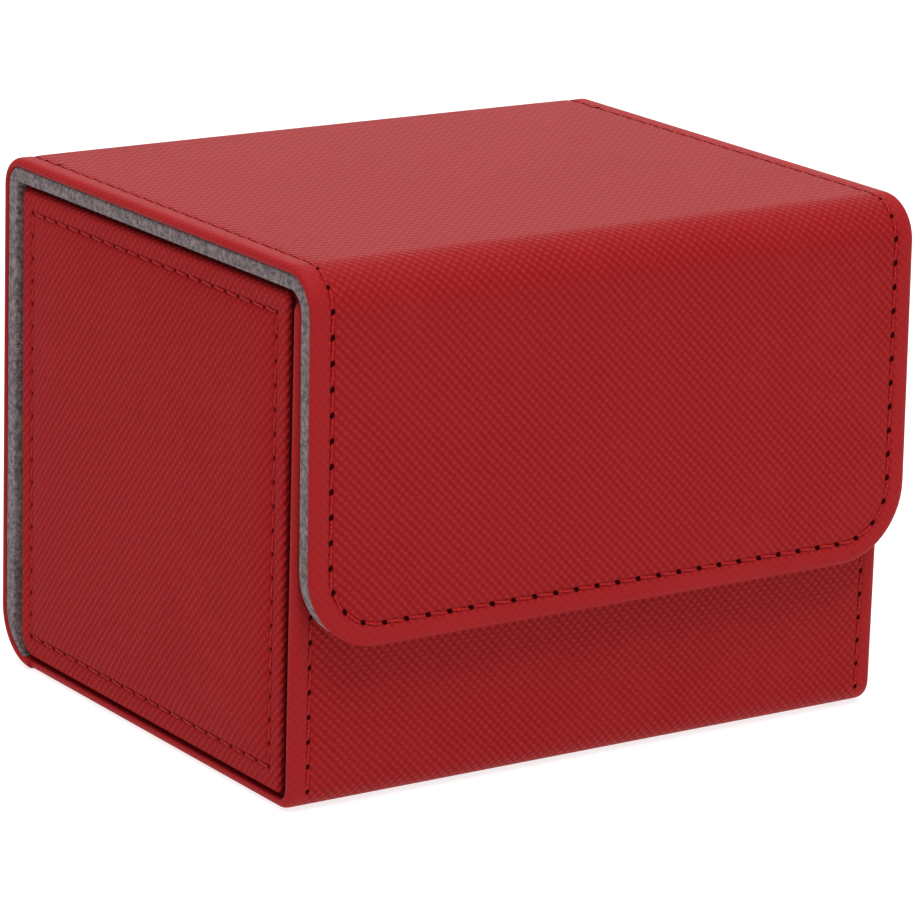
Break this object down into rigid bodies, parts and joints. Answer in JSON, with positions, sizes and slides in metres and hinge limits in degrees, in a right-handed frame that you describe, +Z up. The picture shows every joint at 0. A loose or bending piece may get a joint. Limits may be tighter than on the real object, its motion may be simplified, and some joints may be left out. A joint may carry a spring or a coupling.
{
  "type": "card deck box",
  "caption": "Stitched leatherette box for a deck of cards, with padded sides, a lid on a rear crease and a magnetic front flap with grey microfibre lining.",
  "frame": {"origin": "centre of the footprint's bounding box, on the resting surface", "axes": "+Z up, +X to the right seen from the front, -Y towards the front flap"},
  "size_m": [0.104, 0.089, 0.0786],
  "materials": {
    "leatherette": "satin, fine diamond emboss",
    "wall_leatherette": "satin, coarse cross emboss",
    "microfibre": "matt, short nap",
    "thread": "slight sheen",
    "greyboard": "matt",
    "foam": "matt, fine cells",
    "magnet": "nickel plated"
  },
  "bodies": {
    "tray": {"base_board": "greyboard", "left_board": "greyboard", "right_board": "greyboard", "back_board": "greyboard", "front_board": "greyboard", "left_wall_skin": "wall_leatherette", "right_wall_skin": "wall_leatherette", "front_skin": "leatherette", "front_stiffener": "greyboard", "base_skin": "leatherette", "back_skin": "leatherette", "back_stiffener": "greyboard", "back_lining": "microfibre", "left_pad_skin": "leatherette", "right_pad_skin": "leatherette", "left_pad_foam": "foam", "right_pad_foam": "foam", "left_pad_stitching": "thread", "right_pad_stitching": "thread", "front_stitching": "thread", "back_stitching": "thread", "floor_lining": "microfibre", "left_wall_lining": "microfibre", "right_wall_lining": "microfibre", "front_wall_lining": "microfibre", "back_wall_lining": "microfibre", "tray_magnets": "magnet"},
    "lid": {"lid_skin": "leatherette", "lid_stiffener": "greyboard", "lid_lining": "microfibre", "lid_stitching": "thread"},
    "flap": {"flap_skin": "leatherette", "flap_stiffener": "greyboard", "flap_lining": "microfibre", "flap_stitching": "thread", "flap_magnets": "magnet"}
  },
  "joints": [
    {"name": "lid_hinge", "type": "hinge", "parent": "tray", "child": "lid", "pos_m": [0, 0.0433, 0.0774], "axis": [-1, 0, 0], "range_deg": [0, 179]},
    {"name": "flap_hinge", "type": "hinge", "parent": "lid", "child": "flap", "pos_m": [0, -0.04162, 0.07681], "axis": [-1, 0, 0], "range_deg": [0, 179]}
  ]
}
